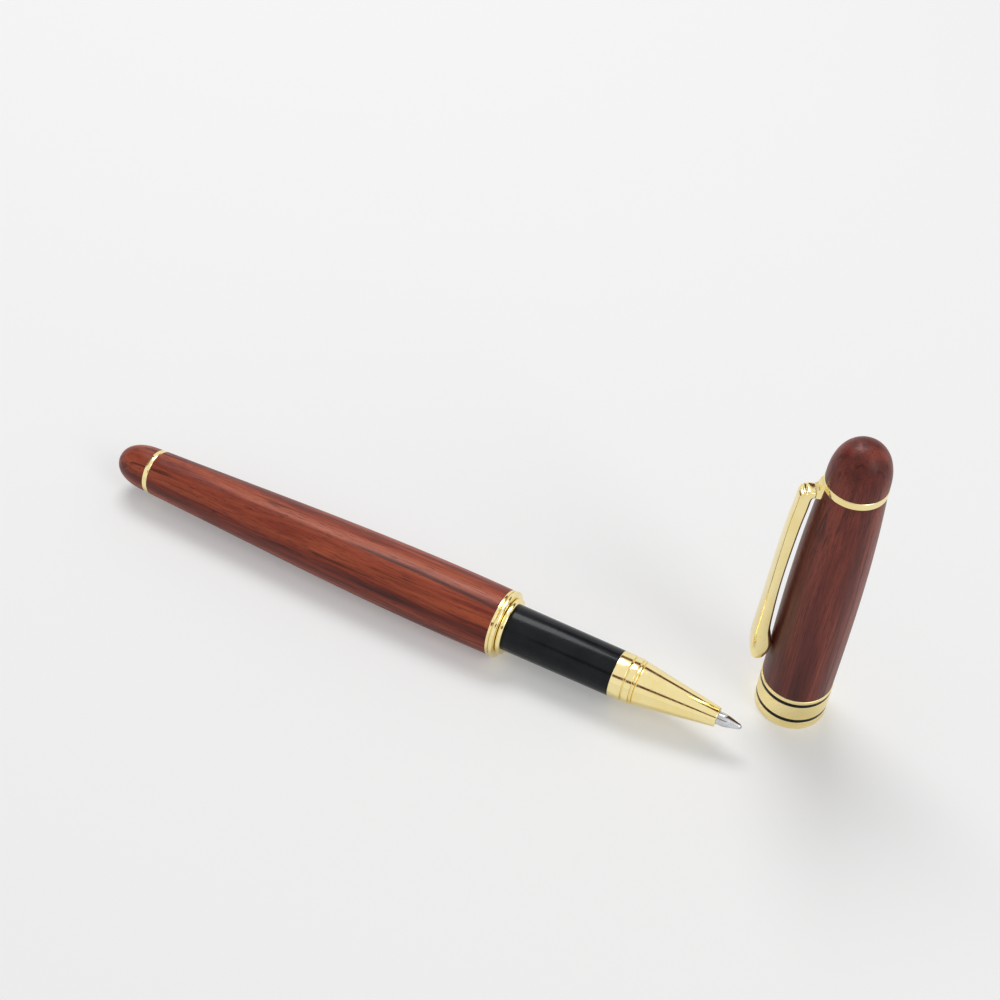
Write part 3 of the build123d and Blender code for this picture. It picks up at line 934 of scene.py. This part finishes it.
@dataclass
class Cap:
    """The standing cap: wooden sleeve and dome, satin band with black inlays."""

    lathe: Lathe
    low_radius: float = 6.09
    belly_radius: float = 6.12
    belly_height: float = 21.0
    mid_radius: float = 5.8
    mid_height: float = 38.8
    top_radius: float = 4.92
    top_hole: float = 1.5
    inlay_heights: tuple[float, float] = (2.2, 6.36)
    inlay_width: float = 0.82
    inlay_depth: float = 0.3
    ring_radius: float = 4.98
    ring_bore: float = 3.4
    lug_width: float = 2.3
    lug_reach: float = 5.9

    def sleeve(self) -> None:
        """Turns the wooden sleeve."""
        low, high = span("cap_sleeve", Lie.UP_CAP)
        bore = radius_of("cap_tube")
        curve = flowing([(low, self.low_radius), (self.belly_height, self.belly_radius),
                         (self.mid_height, self.mid_radius), (high, self.top_radius)], 50)
        tube_top = span("cap_tube", Lie.UP_CAP)[1]
        outline = eased_outline([Corner(low, bore), Corner(*curve[0], ease=0.1),
                                 *[Corner(*p) for p in curve[1:-1]], Corner(*curve[-1], ease=0.1),
                                 Corner(high, self.top_hole), Corner(tube_top, self.top_hole),
                                 Corner(tube_top, bore)], True)
        self.lathe.fit("cap_wood_sleeve", outline, Lie.UP_CAP, "cap", "cap_sleeve", "cap_wood", 160)

    def top(self) -> None:
        """Turns the dome."""
        low, high = span("cap_finial", Lie.UP_CAP)
        outline = [(low, 0.0), *dome(low, high, radius_of("cap_finial"))]
        self.lathe.fit("cap_dome", outline, Lie.UP_CAP, "cap", "cap_finial", "cap_wood", 160)

    def ring(self) -> None:
        """Turns the thin ring and grows the small lug that holds the clip's arm."""
        low, high = span("cap_sleeve", Lie.UP_CAP)[1], span("cap_finial", Lie.UP_CAP)[0]
        radius = self.ring_radius
        bore = self.ring_bore
        outline = ring_outline(low, high, bore, radius, 0.25, 0.3)
        gold = self.lathe.palette.made["polished_gold"]
        piece = self.lathe.turn("cap_gold_ring", outline, Lie.UP_CAP, gold, 160)
        self.grow_lug(piece.data, high)
        settle(piece, "cap", "cap_ring")

    def grow_lug(self, mesh: bpy.types.Mesh, ring_top: float) -> None:
        """Adds the wedge that runs from the ring down to the clip's arm.

        Args:
            mesh: the ring's mesh.
            ring_top: height of the ring's upper face, in millimetres.
        """
        place = ClipSide.measured()
        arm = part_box("clip")[1][2] / MM
        root, underside = self.ring_radius - 0.68, arm - 1.42
        wedge = [(root, ring_top - 0.25), (root + 0.55, ring_top - 0.2), (root + 0.95, ring_top - 0.75),
                 (self.lug_reach - 0.4, arm + 0.35), (self.lug_reach, arm + 0.1),
                 (self.lug_reach, underside + 0.17), (self.lug_reach - 0.3, underside), (root, underside)]
        half, bevel = self.lug_width / 2, 0.14
        shell = bmesh.new()
        shell.from_mesh(mesh)
        shell.faces.ensure_lookup_table()
        gold_slot = shell.faces[0].material_index
        rims = [[shell.verts.new(place.spot(r - trim, across, z - math.copysign(trim, z - arm)))
                 for r, z in wedge]
                for across, trim in ((-half, 0.12), (bevel - half, 0.0), (half - bevel, 0.0), (half, 0.12))]
        faces = [shell.faces.new(rims[0]), shell.faces.new(rims[-1])]
        for first, second in zip(rims, rims[1:]):
            for step in range(len(wedge)):
                ahead = (step + 1) % len(wedge)
                faces.append(shell.faces.new((first[step], first[ahead], second[ahead], second[step])))
        bmesh.ops.recalc_face_normals(shell, faces=faces)
        for face in faces:
            face.material_index = gold_slot
        shell.to_mesh(mesh)
        shell.free()

    def band(self) -> None:
        """Turns the band, with two grooves for the inlays and a stepped mouth."""
        low, high = span("cap_band", Lie.UP_CAP)
        radius = radius_of("cap_band")
        bore, mouth = radius_of("cap_tube"), radius_of("cap_snap_ring")
        mouth_top = span("cap_snap_ring", Lie.UP_CAP)[1]
        corners = [Corner(mouth_top, mouth), Corner(low, mouth, 0.15), Corner(low, radius, 0.22)]
        for height in self.inlay_heights:
            for edge, sign in ((height - self.inlay_width / 2, 1), (height + self.inlay_width / 2, -1)):
                pair = [Corner(edge, radius, 0.05), Corner(edge, radius - self.inlay_depth)]
                corners += pair[::sign]
        corners += [Corner(high, radius, 0.2), Corner(high, bore), Corner(mouth_top, bore)]
        outline = eased_outline(corners, True)
        self.lathe.fit("cap_gold_band", outline, Lie.UP_CAP, "cap", "cap_band", "satin_gold", 160)

    def inlays(self) -> None:
        """Turns the two black rings as one piece."""
        radius = radius_of("cap_inlays")
        floor = radius - self.inlay_depth + 0.03
        enamel = self.lathe.palette.made["black_enamel"]
        shell = bmesh.new()
        for height in self.inlay_heights:
            low, high = height - self.inlay_width / 2 + 0.01, height + self.inlay_width / 2 - 0.01
            outline = ring_outline(low, high, floor, radius, 0.04, 0.04)
            ring = self.lathe.turn("inlay", outline, Lie.UP_CAP, enamel, 160)
            shell.from_mesh(ring.data)
            if height == self.inlay_heights[-1]:
                shell.to_mesh(ring.data)
                ring.name = ring.data.name = "cap_black_inlays"
                settle(ring, "cap", "cap_inlays")
            else:
                bpy.data.objects.remove(ring)
        shell.free()

    def build(self) -> None:
        """Makes every turned piece of the cap that shows."""
        self.sleeve()
        self.top()
        self.ring()
        self.band()
        self.inlays()


@dataclass(frozen=True)
class Slice:
    """One cross-section of the clip in its own plane, in millimetres."""

    outer: Point
    inner: Point
    half_width: float


@dataclass
class Clip:
    """The gold clip: arm, grooved bend, long strip and spoon-shaped foot."""

    palette: Palette
    root_reach: float = 5.97
    sides: int = 28
    rings: int = 260
    squareness: float = 4.5
    groove_starts: tuple[float, ...] = (1.4, 2.0, 2.6)
    groove_depth: float = 0.2
    groove_width: float = 0.16

    def slices(self, reach: float, top: float, end: float) -> list[Slice]:
        """The chosen cross-sections from the arm's root to the foot's tip.

        Args:
            reach: distance of the arm's root from the cap's axis.
            top: height of the arm's top.
            end: height of the foot's tip.

        Returns:
            The sections in order.
        """
        return [
            Slice((reach, top), (reach, top - 1.35), 1.25),
            Slice((7.0, top), (reach + 0.08, top - 1.36), 1.3),
            Slice((7.9, top - 0.34), (6.12, top - 1.5), 1.32),
            Slice((8.25, top - 1.25), (6.24, top - 2.0), 1.34),
            Slice((8.42, top - 3.6), (6.36, top - 3.9), 1.36),
            Slice((8.75, end + 33.5), (6.72, end + 33.4), 1.46),
            Slice((9.05, end + 26.6), (7.12, end + 26.6), 1.6),
            Slice((9.25, end + 20.0), (7.34, end + 20.0), 1.72),
            Slice((9.42, end + 14.0), (7.3, end + 14.0), 1.84),
            Slice((9.6, end + 9.2), (7.1, end + 9.0), 1.93),
            Slice((9.7, end + 6.6), (6.62, end + 6.9), 1.95),
            Slice((9.68, end + 5.0), (6.22, end + 5.1), 1.92),
            Slice((9.5, end + 3.1), (6.26, end + 3.7), 1.78),
            Slice((9.1, end + 1.5), (6.62, end + 2.1), 1.42),
            Slice((8.5, end + 0.5), (7.1, end + 0.85), 0.95),
            Slice((8.0, end + 0.05), (7.6, end + 0.15), 0.35),
        ]

    def flow(self, rows: np.ndarray) -> np.ndarray:
        """Runs a smooth curve through rows of numbers.

        Args:
            rows: one row for each section.

        Returns:
            As many rows as the clip has rings.
        """
        padded = np.vstack([2 * rows[0] - rows[1], rows, 2 * rows[-1] - rows[-2]])
        result = []
        for place in np.linspace(0, len(rows) - 1 - 1e-9, self.rings):
            index, t = int(place), place - int(place)
            a, b, c, d = padded[index:index + 4]
            result.append(0.5 * (2 * b + (c - a) * t + (2 * a - 5 * b + 4 * c - d) * t ** 2
                                 + (3 * b - a - 3 * c + d) * t ** 3))
        return np.array(result)

    def build(self) -> None:
        """Lofts the clip and sets it on its body."""
        place = ClipSide.measured()
        low, high = span("clip", Lie.UP_CAP)
        chosen = self.slices(self.root_reach, high, low)
        rows = self.flow(np.array([(*s.outer, *s.inner, s.half_width) for s in chosen]))
        run = np.concatenate([[0], np.cumsum(np.linalg.norm(np.diff(rows[:, :2], axis=0), axis=1))])
        shell = bmesh.new()
        loops = []
        power = 2 / self.squareness
        for row, travelled in zip(rows, run):
            outer, inner, width = Vector(row[:2]), Vector(row[2:4]), row[4]
            dip = sum(math.exp(-(((travelled - g) / self.groove_width) ** 2)) for g in self.groove_starts)
            outer += (inner - outer).normalized() * self.groove_depth * dip
            middle, reach = (outer + inner) / 2, (outer - inner) / 2
            loop = []
            for step in range(self.sides):
                turn = 2 * math.pi * step / self.sides
                over = math.copysign(abs(math.cos(turn)) ** power, math.cos(turn))
                up = math.copysign(abs(math.sin(turn)) ** power, math.sin(turn))
                flat = middle + reach * up
                loop.append(shell.verts.new(place.spot(flat.x, width * over, flat.y)))
            loops.append(loop)
        for first, second in zip(loops, loops[1:]):
            for step in range(self.sides):
                ahead = (step + 1) % self.sides
                shell.faces.new((first[step], first[ahead], second[ahead], second[step]))
        shell.faces.new(loops[0])
        shell.faces.new(loops[-1])
        bmesh.ops.recalc_face_normals(shell, faces=shell.faces)
        mesh = bpy.data.meshes.new("gold_clip")
        shell.to_mesh(mesh)
        shell.free()
        mesh.shade_smooth()
        mesh.set_sharp_from_angle(angle=math.radians(50))
        mesh.materials.append(self.palette.made["polished_gold"])
        piece = bpy.data.objects.new("gold_clip", mesh)
        bpy.context.scene.collection.objects.link(piece)
        settle(piece, "clip", "clip")


# ------------------------------------------------------------------ the studio


@dataclass
class Studio:
    """Pale floor, soft light and the camera."""

    floor_size: float = 4.0
    floor_gap: float = 0.01
    floor_colour: Triple = (0.77, 0.77, 0.77)
    floor_glow: float = 0.2
    board_colour: Triple = (0.2, 0.08, 0.05)
    sky_light: float = 0.42
    sky_shown: float = 0.92
    camera_from_trim: Triple = (71.2, -162.9, 220.4)
    heading: float = 114.18
    pitch: float = 45.91
    roll: float = -4.56
    lens: float = 56.97

    def camera(self) -> None:
        """Sets up the camera above and in front of the pen's tip."""
        low, high = (Vector(v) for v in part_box("centre_ring"))
        eye = Vector((low.x, (low.y + high.y) / 2, 0)) + Vector(self.camera_from_trim) * MM
        heading, pitch, roll = (math.radians(a) for a in (self.heading, self.pitch, self.roll))
        ahead = Vector((math.cos(heading) * math.cos(pitch), math.sin(heading) * math.cos(pitch),
                        -math.sin(pitch)))
        level = ahead.cross(Vector((0, 0, 1))).normalized()
        down = ahead.cross(level)
        right = level * math.cos(roll) + down * math.sin(roll)
        under = down * math.cos(roll) - level * math.sin(roll)
        turn = Matrix((right, -under, -ahead)).transposed().to_4x4()
        data = bpy.data.cameras.new("camera")
        data.lens, data.sensor_width = self.lens, 36.0
        data.clip_start, data.clip_end = 0.005, 20.0
        camera = bpy.data.objects.new("camera", data)
        camera.matrix_world = Matrix.Translation(eye) @ turn
        bpy.context.scene.collection.objects.link(camera)
        bpy.context.scene.camera = camera

    def lamp(self, name: str, place: Triple, size: tuple[float, float],
             power: float) -> None:
        """Hangs one soft box that faces the pen.

        Args:
            name: its name.
            place: where it hangs, in metres.
            size: its two sides in metres.
            power: its power in watts.
        """
        data = bpy.data.lights.new(name, "AREA")
        data.shape = "RECTANGLE"
        data.size, data.size_y = size
        data.energy = power
        lamp = bpy.data.objects.new(name, data)
        lamp.location = place
        lamp.rotation_mode = "QUATERNION"
        lamp.rotation_quaternion = (-Vector(place)).to_track_quat("-Z", "Y")
        bpy.context.scene.collection.objects.link(lamp)

    def seen(self, tree: bpy.types.NodeTree) -> Socket:
        """One where a ray from the camera, a mirror or glass looks, else zero.

        Args:
            tree: the node tree to write in.

        Returns:
            The value.
        """
        path = tree.nodes.new("ShaderNodeLightPath")
        total = path.outputs["Is Camera Ray"]
        for name in ("Is Glossy Ray", "Is Transmission Ray"):
            add = tree.nodes.new("ShaderNodeMath")
            add.operation = "MAXIMUM"
            tree.links.new(total, add.inputs[0])
            tree.links.new(path.outputs[name], add.inputs[1])
            total = add.outputs[0]
        return total

    def floor(self) -> None:
        """Lays the pale floor, which keeps the pen's soft shadow."""
        mesh = bpy.data.meshes.new("floor")
        half = self.floor_size / 2
        mesh.from_pydata([(-half, -half, 0), (half, -half, 0), (half, half, 0), (-half, half, 0)], [],
                         [(0, 1, 2, 3)])
        material = bpy.data.materials.new("pale_floor")
        material.use_nodes = True
        tree = material.node_tree
        shader = tree.nodes["Principled BSDF"]
        shader.inputs["Base Color"].default_value = (*self.floor_colour, 1)
        shader.inputs["Roughness"].default_value = 0.9
        shader.inputs["Specular IOR Level"].default_value = 0.1
        shader.inputs["Emission Color"].default_value = (1, 1, 0.995, 1)
        glow = tree.nodes.new("ShaderNodeMath")
        glow.operation = "MULTIPLY"
        glow.inputs[1].default_value = self.floor_glow
        tree.links.new(self.seen(tree), glow.inputs[0])
        tree.links.new(glow.outputs[0], shader.inputs["Emission Strength"])
        mesh.materials.append(material)
        floor = bpy.data.objects.new("floor", mesh)
        floor.location.z = MODEL_BOX[0][2] - self.floor_gap * MM
        bpy.context.scene.collection.objects.link(floor)

    def sky(self) -> None:
        """Lights from all round at a grey level, and looks near white itself."""
        world = bpy.data.worlds.new("studio")
        bpy.context.scene.world = world
        world.use_nodes = True
        tree = world.node_tree
        shade = tree.nodes["Background"]
        shade.inputs["Color"].default_value = (1, 1, 1, 1)
        level = tree.nodes.new("ShaderNodeMapRange")
        level.inputs["To Min"].default_value = self.sky_light
        level.inputs["To Max"].default_value = self.sky_shown
        tree.links.new(self.seen(tree), level.inputs["Value"])
        tree.links.new(level.outputs["Result"], shade.inputs["Strength"])

    def board(self, name: str, place: Triple, size: tuple[float, float]) -> None:
        """Stands a dark board out of view, which the gold shows as its darker streaks.

        Args:
            name: its name.
            place: its middle, in metres.
            size: its two sides in metres.
        """
        half_width, half_tall = size[0] / 2, size[1] / 2
        turn = (-Vector(place)).to_track_quat("Z", "Y")
        corners = [(-half_width, -half_tall, 0), (half_width, -half_tall, 0), (half_width, half_tall, 0),
                   (-half_width, half_tall, 0)]
        mesh = bpy.data.meshes.new(name)
        mesh.from_pydata([turn @ Vector(c) + Vector(place) for c in corners], [], [(0, 1, 2, 3)])
        material = bpy.data.materials.new(name)
        material.use_nodes = True
        shader = material.node_tree.nodes["Principled BSDF"]
        shader.inputs["Base Color"].default_value = (*self.board_colour, 1)
        shader.inputs["Roughness"].default_value = 0.9
        mesh.materials.append(material)
        board = bpy.data.objects.new(name, mesh)
        board.visible_camera = False
        board.visible_shadow = False
        board.visible_diffuse = False
        bpy.context.scene.collection.objects.link(board)

    def build(self) -> None:
        """Sets the whole studio up."""
        self.floor()
        self.board("left_board", (-0.3, 0.02, 0.2), (0.3, 0.22))
        self.board("front_board", (0.06, -0.45, 0.34), (0.4, 0.12))
        self.board("back_board", (0.1, 0.42, 0.34), (0.5, 0.16))
        self.sky()
        self.lamp("key", (-0.25, 0.3, 0.75), (0.45, 0.3), 3.0)
        self.lamp("fill", (0.6, -0.2, 0.5), (0.3, 0.5), 1.1)
        self.camera()
        bpy.context.scene.view_settings.view_transform = "Standard"


def main() -> None:
    """Builds the pen's looks in order and reports each piece."""
    logging.basicConfig(level=logging.INFO, format="%(name)s: %(message)s")
    palette = Palette()
    palette.build()
    palette.dress_frame(frame["record"])
    lathe = Lathe(palette)
    for assembly in (Barrel(lathe), Section(lathe), Refill(lathe), Cap(lathe), Clip(palette), Studio()):
        assembly.build()
        LOG.info("%s done", type(assembly).__name__)


if __name__ == "__main__":
    main()
